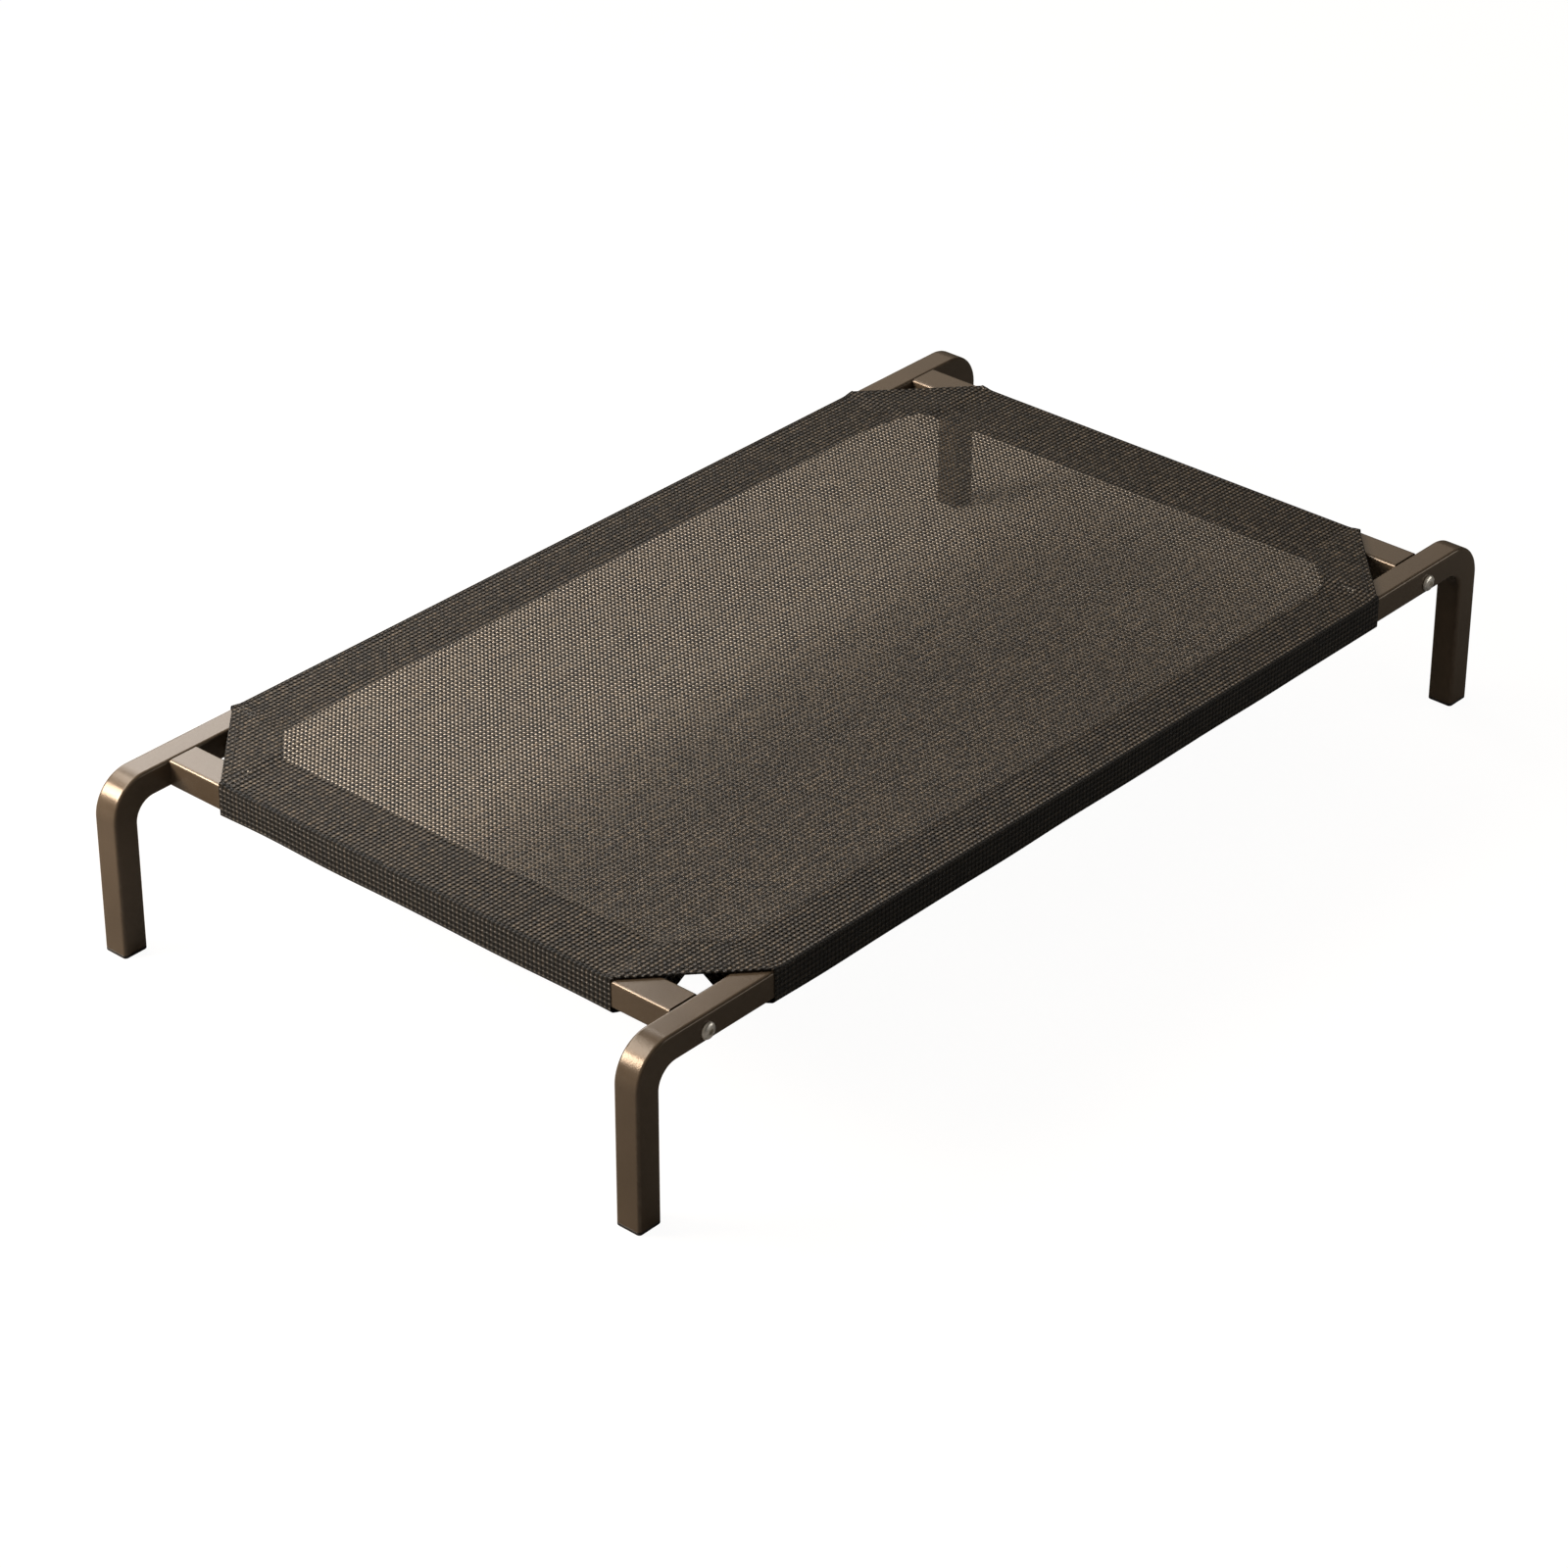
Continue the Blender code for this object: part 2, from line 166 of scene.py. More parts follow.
class Graph:
    """Short calls for building one material's node tree."""

    def __init__(self, name):
        self.material = bpy.data.materials.new(name)
        self.material.use_nodes = True
        self.tree = self.material.node_tree
        self.shader = self.tree.nodes["Principled BSDF"]

    def node(self, kind, inputs=(), **settings):
        """A new node, with its settings and with values or links put into its inputs."""
        made = self.tree.nodes.new(kind)
        for key, value in settings.items():
            setattr(made, key, value)
        for key, value in dict(inputs).items():
            self.put(value, made.inputs[key])
        return made

    def put(self, value, socket):
        if isinstance(value, bpy.types.NodeSocket):
            self.tree.links.new(value, socket)
        elif value is not None:
            socket.default_value = value

    def math(self, operation, a, b=None, c=None, clamp=False):
        made = self.tree.nodes.new("ShaderNodeMath")
        made.operation = operation
        made.use_clamp = clamp
        for value, socket in zip((a, b, c), made.inputs):
            self.put(value, socket)
        return made.outputs[0]

    def scaled(self, vector, factors):
        made = self.node("ShaderNodeVectorMath", {0: vector, 1: factors}, operation="MULTIPLY")
        return made.outputs[0]

    def noise(self, vector, scale, detail, roughness):
        inputs = {"Vector": vector, "Scale": scale, "Detail": detail, "Roughness": roughness}
        return self.node("ShaderNodeTexNoise", inputs).outputs["Fac"]

    def white(self, value):
        return self.node("ShaderNodeTexWhiteNoise", {"W": value}, noise_dimensions="1D").outputs["Value"]

    def span(self, value, low, high, to_low, to_high):
        """Maps a range of a value onto another range, clamped."""
        inputs = {"Value": value, "From Min": low, "From Max": high, "To Min": to_low, "To Max": to_high}
        return self.node("ShaderNodeMapRange", inputs).outputs[0]

    def vary(self, noise, low, high):
        """A value that goes from low to high with a noise."""
        return self.span(noise, NOISE_LOW, NOISE_HIGH, low, high)

    def product(self, first, *others):
        for other in others:
            first = self.math("MULTIPLY", first, other)
        return first

    def mix(self, factor, a, b):
        """Mixes two values."""
        return self.node("ShaderNodeMix", {0: factor, 2: a, 3: b}).outputs[0]

    def mix_colour(self, factor, a, b, blend="MIX"):
        inputs = {0: factor, 6: a, 7: b}
        return self.node("ShaderNodeMix", inputs, data_type="RGBA", blend_type=blend).outputs[2]

    def position(self):
        return self.node("ShaderNodeTexCoord").outputs["Object"]

    def uv(self, name):
        return self.node("ShaderNodeUVMap", uv_map=name).outputs["UV"]

    def attribute(self, name):
        return self.node("ShaderNodeAttribute", attribute_name=name).outputs["Fac"]

    def bump(self, height, distance):
        return self.node("ShaderNodeBump", {"Height": height, "Distance": distance}).outputs["Normal"]

    def set(self, **inputs):
        """Sets or links inputs of the Principled shader: base_color for Base Color, and so on."""
        for key, value in inputs.items():
            label = key.replace("_", " ").title().replace("Ior", "IOR")
            self.put(value, self.shader.inputs[label])


def bronze_paint():
    """Glossy metallic bronze powder coat: fine flakes, orange peel, faint draw lines, and edges paled partly
    by wear and partly as a painted highlight.
    """
    g = Graph("bronze_paint_look")
    place = g.position()
    along = g.uv("along")
    flakes = g.noise(place, 2600.0, 1.0, 0.5)
    cloudy = g.noise(place, 14.0, 4.0, 0.55)
    drawn = g.noise(g.scaled(along, (9.0, 420.0, 1.0)), 1.0, 3.0, 0.6)
    peel = g.noise(place, 620.0, 2.0, 0.45)
    scuffs = g.noise(place, 95.0, 5.0, 0.7)
    # Rounded edges paled in patches: part edge wear, part a painted highlight
    edge_wear_and_highlight = g.math("MULTIPLY", g.attribute("edge"), g.span(scuffs, 0.42, 0.66, 0.15, 1.0))
    base = g.mix_colour(g.vary(cloudy, 0.0, 1.0), PAINT_DARK, PAINT_PALE)
    base = g.mix_colour(g.span(flakes, 0.52, 0.74, 0.0, 0.55), base, PAINT_FLAKE)
    base = g.mix_colour(g.math("MULTIPLY", edge_wear_and_highlight, 0.30), base, PAINT_EDGE_WEAR_AND_HIGHLIGHT)
    rough = g.vary(drawn, 0.205, 0.245)
    rough = g.math("ADD", rough, g.vary(cloudy, -0.03, 0.03))
    rough = g.math("ADD", rough, g.math("MULTIPLY", edge_wear_and_highlight, -0.05))
    height = g.math("ADD", g.math("MULTIPLY", peel, 0.92), g.math("MULTIPLY", drawn, 0.08))
    g.set(base_color=base, roughness=rough, metallic=0.35, normal=g.bump(height, 0.00006))
    return g.material


def zinc_plate():
    """Bright zinc with a faint cloudy passivation and a fine grain."""
    g = Graph("zinc_plate_look")
    place = g.position()
    cloudy = g.noise(place, 420.0, 3.0, 0.6)
    grain = g.noise(place, 5200.0, 2.0, 0.5)
    base = g.mix_colour(g.vary(cloudy, 0.0, 1.0), ZINC_DARK, ZINC_PALE)
    g.set(base_color=base, roughness=g.vary(cloudy, 0.26, 0.38), metallic=0.80)
    g.set(normal=g.bump(grain, 0.00002))
    return g.material


def bare_steel():
    """Uncoated mild steel with rolling grain."""
    g = Graph("plain_steel_look")
    place = g.position()
    grain = g.noise(g.scaled(place, (60.0, 900.0, 900.0)), 1.0, 4.0, 0.6)
    blotch = g.noise(place, 160.0, 4.0, 0.6)
    base = g.mix_colour(g.span(blotch, 0.35, 0.65, 0.0, 1.0), STEEL_DARK, STEEL_PALE)
    g.set(base_color=base, roughness=g.vary(grain, 0.34, 0.55), metallic=1.0)
    g.set(normal=g.bump(grain, 0.00003))
    return g.material


def foot_plastic():
    """Spark-textured black plastic, a little scuffed round the sole."""
    g = Graph("black_plastic_look")
    place = g.position()
    grain = g.noise(place, 2400.0, 2.0, 0.5)
    scuffs = g.noise(place, 300.0, 5.0, 0.7)
    low = g.span(g.node("ShaderNodeSeparateXYZ", {0: place}).outputs[2], 0.0, 0.003, 1.0, 0.0)
    worn = g.math("MULTIPLY", low, g.span(scuffs, 0.45, 0.65, 0.0, 1.0))
    base = g.mix_colour(g.math("MULTIPLY", worn, 0.6), PLASTIC, PLASTIC_WORN)
    g.set(base_color=base, roughness=g.vary(grain, 0.48, 0.66), normal=g.bump(grain, 0.00005))
    return g.material


def weave_nodes(g, uv):
    """A mesh of thick cords along X, which swell over the thinner yarns along Y that cross under them.

    Returns the height of the yarn from 0 to 1, lowered in the gaps between cords to paint shade there, where
    there is yarn at all, the slopes along X and Y, where a cord is on top, and a random number for each cord
    and for each crossing.
    """
    split = g.node("ShaderNodeSeparateXYZ", {0: uv})
    a = g.math("DIVIDE", split.outputs[0], YARN_PITCH)
    b = g.math("DIVIDE", split.outputs[1], RIB_PITCH)
    whole_a, whole_b = g.math("FLOOR", a), g.math("FLOOR", b)
    part_a = g.math("SUBTRACT", g.math("SUBTRACT", a, whole_a), 0.5)  # 0 in the middle of a yarn
    part_b = g.math("SUBTRACT", g.math("SUBTRACT", b, whole_b), 0.5)

    across_rib = g.math("DIVIDE", part_b, RIB_HALF)  # -1 to 1 from side to side
    across_yarn = g.math("DIVIDE", part_a, YARN_HALF)
    in_rib = g.math("LESS_THAN", g.math("ABSOLUTE", across_rib), 1.0)
    in_yarn = g.math("LESS_THAN", g.math("ABSOLUTE", across_yarn), 1.0)
    rib_round = g.math("SUBTRACT", 1.0, g.math("MULTIPLY", across_rib, across_rib), clamp=True)
    yarn_round = g.math("SUBTRACT", 1.0, g.math("MULTIPLY", across_yarn, across_yarn), clamp=True)
    turn = g.math("MULTIPLY", part_a, 2 * pi)
    rib = g.math("MULTIPLY_ADD", g.math("COSINE", turn), SWELL, g.math("SQRT", rib_round))
    yarn = g.math("SUBTRACT", g.math("SQRT", yarn_round), YARN_DEPTH)
    rib = g.mix(in_rib, NOTHING, rib)
    yarn = g.mix(in_yarn, NOTHING, yarn)
    rib_on_top = g.math("GREATER_THAN", rib, yarn)
    height = g.span(g.math("MAXIMUM", rib, yarn), -SWELL, 1.0 + SWELL, 0.0, 1.0)
    solid = g.math("MAXIMUM", in_rib, in_yarn)

    along_rib = g.math("MULTIPLY", g.math("SINE", turn), SWELL_TILT)
    slope_x = g.mix(rib_on_top, g.math("MULTIPLY", across_yarn, YARN_TILT), along_rib)
    slope_y = g.product(across_rib, RIB_TILT, rib_on_top)

    # Painted shade: the gap between two cords is darkened, more so and over a wider band on the sleeves and
    # hems
    closed = g.attribute("backed")
    gap_start = g.math("MULTIPLY_ADD", closed, -0.08, RIB_HALF - 0.06)
    gap_shade = g.math("MULTIPLY_ADD", closed, -0.35, 0.45)
    gap = g.span(g.math("ABSOLUTE", part_b), gap_start, RIB_HALF + 0.04, 1.0, gap_shade)
    height = g.math("MULTIPLY", height, gap)

    crossing = g.node("ShaderNodeCombineXYZ", {0: whole_a, 1: whole_b, 2: 0.0}).outputs[0]
    noise = g.node("ShaderNodeTexWhiteNoise", {"Vector": crossing}, noise_dimensions="2D")
    return height, solid, slope_x, slope_y, rib_on_top, g.white(whole_b), noise.outputs["Value"]


def mesh_cloth():
    """Mesh of coated brown yarn, see-through between its yarns except on the sleeves and hems, where its
    holes are closed and it is darkened as painted shade.
    """
    g = Graph("mesh_cloth_look")
    uv = g.uv("weave")
    height, solid, slope_x, slope_y, rib_on_top, rib_tone, crossing_tone = weave_nodes(g, uv)
    backed = g.attribute("backed")
    patches = g.noise(uv, 7.0, 4.0, 0.55)
    mottle = g.noise(uv, 150.0, 3.0, 0.7)
    streaks = g.noise(g.scaled(uv, (2.2, 130.0, 1.0)), 1.0, 4.0, 0.6)
    fibre = g.noise(g.scaled(uv, (900.0, 5200.0, 1.0)), 1.0, 2.0, 0.6)
    # Painted shade and light: the yarn is darkened in its low parts and brightened on its crowns by height,
    # and darkened as a whole on the sleeves and hems; the noises and crossing numbers are the yarn's own
    # tone
    shade = g.product(
        g.span(height, 0.14, 0.95, 0.05, 1.55),
        g.vary(patches, 0.92, 1.08),
        g.span(crossing_tone, 0.0, 1.0, 0.40, 1.60),
        g.math("MULTIPLY_ADD", backed, -0.68, 1.0),
        g.vary(mottle, 0.58, 1.42),
        g.vary(streaks, 0.84, 1.16),
        g.vary(fibre, 0.90, 1.10),
    )
    grey = g.node("ShaderNodeCombineColor", {0: shade, 1: shade, 2: shade}).outputs[0]
    cord = g.mix_colour(rib_tone, CORD_DARK, CORD_PALE)
    base = g.mix_colour(1.0, g.mix_colour(rib_on_top, CROSS_YARN, cord), grey, "MULTIPLY")

    normal = g.node("ShaderNodeCombineXYZ", {0: slope_x, 1: slope_y, 2: 1.0}).outputs[0]
    normal = g.node("ShaderNodeVectorMath", {0: normal}, operation="NORMALIZE").outputs[0]
    to_colour = {0: normal, 1: (0.5,) * 3, 2: (0.5,) * 3}
    packed = g.node("ShaderNodeVectorMath", to_colour, operation="MULTIPLY_ADD").outputs[0]
    mapped = g.node("ShaderNodeNormalMap", {"Color": packed, "Strength": 1.0}, uv_map="weave")
    rough = g.math("ADD", g.span(height, 0.25, 0.85, 0.42, 0.0), g.vary(fibre, 0.32, 0.42))
    # Painted shade: on the sleeves and hems the holes are closed, showing dark yarn in place of the shade
    # behind them
    g.set(base_color=base, alpha=g.math("MAXIMUM", solid, backed), normal=mapped.outputs["Normal"])
    g.set(roughness=rough, specular_ior_level=0.50)
    return g.material


def thread():
    """Twisted polyester sewing thread."""
    g = Graph("thread_look")
    split = g.node("ShaderNodeSeparateXYZ", {0: g.uv("along")})
    around = g.math("MULTIPLY", split.outputs[1], 6000.0)
    turns = g.math("MULTIPLY_ADD", split.outputs[0], 9000.0, around)
    twist = g.math("MULTIPLY_ADD", g.math("SINE", turns), 0.5, 0.5)
    base = g.mix_colour(twist, THREAD_DARK, THREAD_PALE)
    g.set(base_color=base, roughness=g.span(twist, 0.0, 1.0, 0.62, 0.50), normal=g.bump(twist, 0.00005))
    g.set(sheen_weight=0.15)
    return g.material


# ---------------------------------------------------------------- mesh making

def add_piece(name, points, faces, material, uvs=None, uv_name="along", **values):
    """A smooth mesh object, with a UV map and named values given for each point."""
    mesh = bpy.data.meshes.new(name)
    mesh.from_pydata([tuple(point) for point in points], [], faces)
    mesh.materials.append(material)
    if uvs is not None:
        corner = np.empty(len(mesh.loops), np.int32)
        mesh.loops.foreach_get("vertex_index", corner)
        layer = mesh.uv_layers.new(name=uv_name)
        layer.data.foreach_set("uv", np.asarray(uvs, np.float32)[corner].ravel())
    for key, value in values.items():
        layer = mesh.attributes.new(key, "FLOAT", "POINT")
        layer.data.foreach_set("value", np.asarray(value, np.float32))
    mesh.shade_smooth()
    obj = bpy.data.objects.new(name, mesh)
    bpy.context.scene.collection.objects.link(obj)
    return obj


def crisp(obj, angle=0.7):
    """Keeps flat faces flat next to small roundings, and corners over an angle in radians sharp."""
    obj.data.set_sharp_from_angle(angle=angle)
    weighted = obj.modifiers.new("flat_faces", "WEIGHTED_NORMAL")
    weighted.keep_sharp = True
    return obj


def rounded_ring(wide, high, radius):
    """A rounded rectangle's points, anticlockwise, as (a, b, how much of an edge it is)."""
    ring = []
    for turn, (sign_a, sign_b) in enumerate(((1, 1), (-1, 1), (-1, -1), (1, -1))):
        centre_a = sign_a * (wide / 2 - radius)
        centre_b = sign_b * (high / 2 - radius)
        for i in range(EDGE_STEPS + 1):
            angle = pi / 2 * (turn + i / EDGE_STEPS)
            edge = sin(pi * i / EDGE_STEPS)
            ring.append((centre_a + radius * cos(angle), centre_b + radius * sin(angle), edge))
    return ring


def perimeter(ring):
    """Distance round a ring to each of its points."""
    flat = np.array([point[:2] for point in ring])
    steps = np.linalg.norm(np.diff(flat, axis=0), axis=1)
    return np.concatenate([[0.0], np.cumsum(steps)])


class Loft:
    """Collects rings of points and joins each to the next."""

    def __init__(self):
        self.points, self.uvs, self.edges, self.faces, self.rings = [], [], [], [], []

    def ring(self, points, along, around, edges=None):
        start = len(self.points)
        self.points += points
        self.uvs += [(along, distance) for distance in around]
        self.edges += list(edges) if edges is not None else [0.0] * len(points)
        self.rings.append(list(range(start, start + len(points))))
        return self.rings[-1]

    def join(self, first, second):
        count = len(first)
        for i in range(count):
            j = (i + 1) % count
            self.faces.append((first[i], first[j], second[j], second[i]))

    def join_all(self, closed=False):
        pairs = list(zip(self.rings, self.rings[1:]))
        if closed:
            pairs.append((self.rings[-1], self.rings[0]))
        for first, second in pairs:
            self.join(first, second)

    def cap(self, ring):
        self.faces.append(tuple(ring))

    def build(self, name, material):
        obj = add_piece(name, self.points, self.faces, material, self.uvs, "along", edge=self.edges)
        return face_outwards(obj)


def face_outwards(obj):
    """Turns a closed mesh's faces outwards."""
    bm = bmesh.new()
    bm.from_mesh(obj.data)
    bmesh.ops.recalc_face_normals(bm, faces=bm.faces)
    bm.to_mesh(obj.data)
    bm.free()
    obj.data.shade_smooth()
    return obj


def rail_stations(inset):
    """(outer point, inner point) pairs in the XZ plane along a side rail, from one foot to the other."""
    outer_radius, inner_radius = BEND_OUTER - inset, BEND_INNER + inset
    outer_centre = Vector((HALF_LENGTH - BEND_OUTER, HEIGHT - BEND_OUTER))
    inner_centre = Vector((HALF_LENGTH - TUBE - BEND_INNER, HEIGHT - TUBE - BEND_INNER))
    half = [(Vector((HALF_LENGTH - inset, LEG_BOTTOM)), Vector((HALF_LENGTH - TUBE + inset, LEG_BOTTOM)))]
    for i in range(BEND_STEPS + 1):
        turn = pi / 2 * i / BEND_STEPS
        direction = Vector((cos(turn), sin(turn)))
        half.append((outer_centre + outer_radius * direction, inner_centre + inner_radius * direction))
    mirror = [(Vector((-o.x, o.y)), Vector((-i.x, i.y))) for o, i in reversed(half)]
    return half + mirror


def add_rail_skin(loft, inset, y_middle):
    """The rings of a side rail's outer skin, or of its inner one where inset is the wall."""
    run = 0.0
    before = None
    rings = []
    for outer, inner in rail_stations(inset):
        middle, depth = (outer + inner) / 2, (outer - inner).length
        across = (outer - inner).normalized()
        if before is not None:
            run += (middle - before).length
        before = middle
        section = rounded_ring(depth, TUBE - 2 * inset, EDGE_RADIUS - inset)
        points = [(middle.x + across.x * a, y_middle + b, middle.y + across.y * a) for a, b, _ in section]
        rings.append(loft.ring(points, run, perimeter(section), [edge for _, _, edge in section]))
    for first, second in zip(rings, rings[1:]):
        loft.join(first, second)
    return rings


def build_side_rails(paint):
    for side, sign in SIDES.items():
        y_middle = sign * (HALF_WIDTH - TUBE / 2)
        loft = Loft()
        skin = add_rail_skin(loft, 0.0, y_middle)
        bore = add_rail_skin(loft, WALL, y_middle)
        loft.join(skin[0], bore[0])
        loft.join(skin[-1], bore[-1])
        rail = crisp(loft.build(f"bent_rail_{side}", paint))
        finish_piece(rail, "bronze_paint", f"side_rail_{side}")


def build_cross_rails(paint):
    reach = CROSS_HIGH.y
    middle_z = (CROSS_LOW.z + CROSS_HIGH.z) / 2
    for end, sign in ENDS.items():
        loft = Loft()
        for inset, order in ((0.0, (-reach, reach)), (WALL, (reach, -reach))):
            section = rounded_ring(CROSS_WIDE - 2 * inset, CROSS_TALL - 2 * inset, EDGE_RADIUS - inset)
            for y in order:
                points = [(sign * CROSS_X + a, y, middle_z + b) for a, b, _ in section]
                loft.ring(points, y + reach, perimeter(section), [edge for _, _, edge in section])
        loft.join_all(closed=True)
        rail = crisp(loft.build(f"cross_tube_{end}", paint))
        finish_piece(rail, "bronze_paint", f"cross_rail_{end}")


HEAD_RADIUS = (BOLT_HIGH.x - BOLT_LOW.x) / 2
HEAD_HIGH = 0.0042
HEAD_RIM = 0.0008
SHANK_RADIUS = 0.004
SHANK_CHAMFER = 0.001
SOCKET_ACROSS = 0.005
SOCKET_DEEP = 0.0024
SOCKET_MOUTH = 1.12  # the chamfer round the socket, against the socket's size
SOCKET_FLOOR = 0.98
SOCKET_POINT = 0.0005  # how much deeper the drilled point in its floor is
SOCKET_POINT_RADIUS = 0.0008
SMALL_CHAMFER = 0.0003
BOLT_SIDES = 48
DOME_RINGS = 8
DOME_REACH = 0.97  # how far up the dome the socket's mouth is


def hexagon_radius(turn, across):
    """Distance from the centre of a hexagon to its outline in one direction."""
    sector = (turn + pi / 6) % (pi / 3) - pi / 6
    return across / 2 / cos(sector)


def build_bolts(zinc):
    """Domed socket-head bolts: the dome is turned, the socket is a hexagon that sinks into it."""
    turns = [2 * pi * i / BOLT_SIDES for i in range(BOLT_SIDES)]
    around = [HEAD_RADIUS * turn for turn in turns]
    length = BOLT_HIGH.y - BOLT_LOW.y - HEAD_HIGH
    dome_high = HEAD_HIGH - HEAD_RIM
    mouth = HEAD_RIM + dome_high * DOME_REACH
    floor = mouth - SOCKET_DEEP
    outside = [(SHANK_RADIUS - SHANK_CHAMFER, -length), (SHANK_RADIUS, SHANK_CHAMFER - length)]
    outside += [(SHANK_RADIUS, 0.0), (HEAD_RADIUS - SMALL_CHAMFER, 0.0)]
    outside += [(HEAD_RADIUS, SMALL_CHAMFER), (HEAD_RADIUS, HEAD_RIM)]
    for i in range(1, DOME_RINGS + 1):
        lean = pi / 2 * i / (DOME_RINGS + 2)
        outside.append((HEAD_RADIUS * cos(lean), HEAD_RIM + dome_high * sin(lean)))
    socket = [(SOCKET_MOUTH, mouth), (1.0, mouth - SMALL_CHAMFER), (SOCKET_FLOOR, floor)]
    hexagon = [hexagon_radius(turn, SOCKET_ACROSS) for turn in turns]
    for side, side_sign in SIDES.items():
        for end, end_sign in ENDS.items():
            seat = side_sign * (BOLT_HIGH.y - HEAD_HIGH)

            def ring(radii, out):
                return [
                    (end_sign * BOLT_X + r * cos(t), seat + side_sign * out, BOLT_Z + r * sin(t))
                    for r, t in zip(radii, turns)
                ]

            loft = Loft()
            for radius, out in outside:
                loft.ring(ring([radius] * BOLT_SIDES, out), out + length, around)
            for grow, out in socket:
                loft.ring(ring([grow * radius for radius in hexagon], out), out, around)
            loft.ring(ring([SOCKET_POINT_RADIUS] * BOLT_SIDES, floor - SOCKET_POINT), 0.0, around)
            loft.join_all()
            loft.cap(loft.rings[0])
            loft.cap(loft.rings[-1])
            bolt = crisp(loft.build(f"socket_bolt_{side}_{end}", zinc), 0.6)
            finish_piece(bolt, "zinc_plate", f"bolt_{side}_{end}")


SOLE_RIM = 0.0011  # rounding round the sole
SOLE_STEPS = 4
PLUG_CLEAR = 0.0003  # between a plug and its tube
PLUG_FINS = 3
FIN_DEEP = 0.0012
FIN_ROOT = 0.0024  # height of a fin where it meets the stem
FIN_TIP = 0.0010  # and at its edge
STEM_CHAMFER = 0.0008


def build_feet(plastic):
    """Moulded leg plugs: a sole with a rounded rim, then a finned stem up inside the tube."""
    flange = LEG_BOTTOM - PLUG_CLEAR
    stem = TUBE - 2 * (WALL + PLUG_CLEAR)
    core = stem - 2 * FIN_DEEP
    levels = []  # width, corner radius and height
    for i in range(SOLE_STEPS + 1):
        turn = pi / 2 * i / SOLE_STEPS
        levels.append((TUBE - 2 * SOLE_RIM * (1 - sin(turn)), EDGE_RADIUS, SOLE_RIM * (1 - cos(turn))))
    levels.append((TUBE, EDGE_RADIUS, flange - PLUG_CLEAR))
    levels.append((TUBE - 2 * PLUG_CLEAR, EDGE_RADIUS, flange))
    levels.append((core, WALL, flange))
    for fin in range(PLUG_FINS):
        middle = flange + (FOOT_TOP - flange) * (fin + 0.5) / PLUG_FINS
        levels += [(core, WALL, middle - FIN_ROOT / 2), (stem, WALL, middle - FIN_TIP / 2)]
        levels += [(stem, WALL, middle + FIN_TIP / 2), (core, WALL, middle + FIN_ROOT / 2)]
    levels += [(core, WALL, FOOT_TOP - STEM_CHAMFER), (core - 2 * STEM_CHAMFER, WALL, FOOT_TOP)]
    for side, side_sign in SIDES.items():
        for end, end_sign in ENDS.items():
            x = end_sign * (HALF_LENGTH - TUBE / 2)
            y = side_sign * (HALF_WIDTH - TUBE / 2)
            loft = Loft()
            for wide, radius, z in levels:
                section = rounded_ring(wide, wide, radius)
                loft.ring([(x + a, y + b, z) for a, b, _ in section], z, perimeter(section))
            loft.join_all()
            loft.cap(loft.rings[0])
            loft.cap(loft.rings[-1])
            foot = crisp(loft.build(f"leg_plug_{side}_{end}", plastic))
            finish_piece(foot, "black_plastic", f"foot_cap_{side}_{end}")


# ---------------------------------------------------------------- cloth

def ripples(x, y):
    """Faint tension waves that run along the bed."""
    rng = random.Random(11)
    total = np.zeros(np.broadcast(x, y).shape)
    for _ in range(RIPPLE_WAVES):
        across = rng.uniform(60.0, 190.0)
        along = rng.uniform(-16.0, 16.0)
        phase = rng.uniform(0, 2 * pi)
        total = total + np.sin(across * y + along * x + phase) / RIPPLE_WAVES**0.5
    return total


def rest_height(x, y):
    """Middle of the panel before its corners are lifted: flat on the rails, sagging between them."""
    inner_x, inner_y = CROSS_LOW.x, HALF_WIDTH - TUBE
    slack = np.clip(1 - (x / inner_x) ** 2, 0, None) * np.clip(1 - (y / inner_y) ** 2, 0, None)
    window = np.sqrt(np.clip(slack, 0, 1))
    return LAY - SAG * slack + RIPPLE * window * ripples(x, y)


def corner_lift(x, y):
    """How much the second layer lifts the panel at its four cut corners."""
    over_x = smoothstep(CUT_X - LIFT_RAMP, CUT_X, np.abs(x))
    over_y = smoothstep(CUT_Y - LIFT_RAMP, CUT_Y, np.abs(y))
    return DOUBLE * over_x * over_y


def grid_faces(rows, columns):
    return [
        (i * columns + j, i * columns + j + 1, (i + 1) * columns + j + 1, (i + 1) * columns + j)
        for i in range(rows - 1)
        for j in range(columns - 1)
    ]


LAY_X = CROSS_HIGH.x - EDGE_RADIUS  # where the cloth leaves the flat of a cross rail
LAY_Y = HALF_WIDTH - EDGE_RADIUS  # and of a side rail
CUT_ROWS, MIDDLE_ROWS, PANEL_COLUMNS = 13, 67, 141
LONG_STATIONS, SHORT_STATIONS = 161, 91  # along a sleeve
SEAM_POINTS = 4000


def build_panel(cloth):
    """The sleeping surface, from rail to rail, with its four corners cut off."""
    cut_rows = np.linspace(CUT_Y, LAY_Y, CUT_ROWS)
    middle_rows = np.linspace(-CUT_Y, CUT_Y, MIDDLE_ROWS)[1:-1]
    rows = np.concatenate([-cut_rows[::-1], middle_rows, cut_rows])
    half = np.interp(np.abs(rows), [CUT_Y, LAY_Y], [LAY_X, CUT_X])
    across = np.linspace(-1, 1, PANEL_COLUMNS)
    x = half[:, None] * across[None, :]
    y = np.repeat(rows[:, None], len(across), axis=1)
    z = rest_height(x, y) + corner_lift(x, y)
    points = np.stack([x, y, z], -1).reshape(-1, 3)
    uvs = np.stack([x, y], -1).reshape(-1, 2)
    panel = add_piece("cloth_panel", points, grid_faces(*x.shape), cloth, uvs, "weave")
    finish_piece(panel, "mesh_cloth", "mesh_panel")


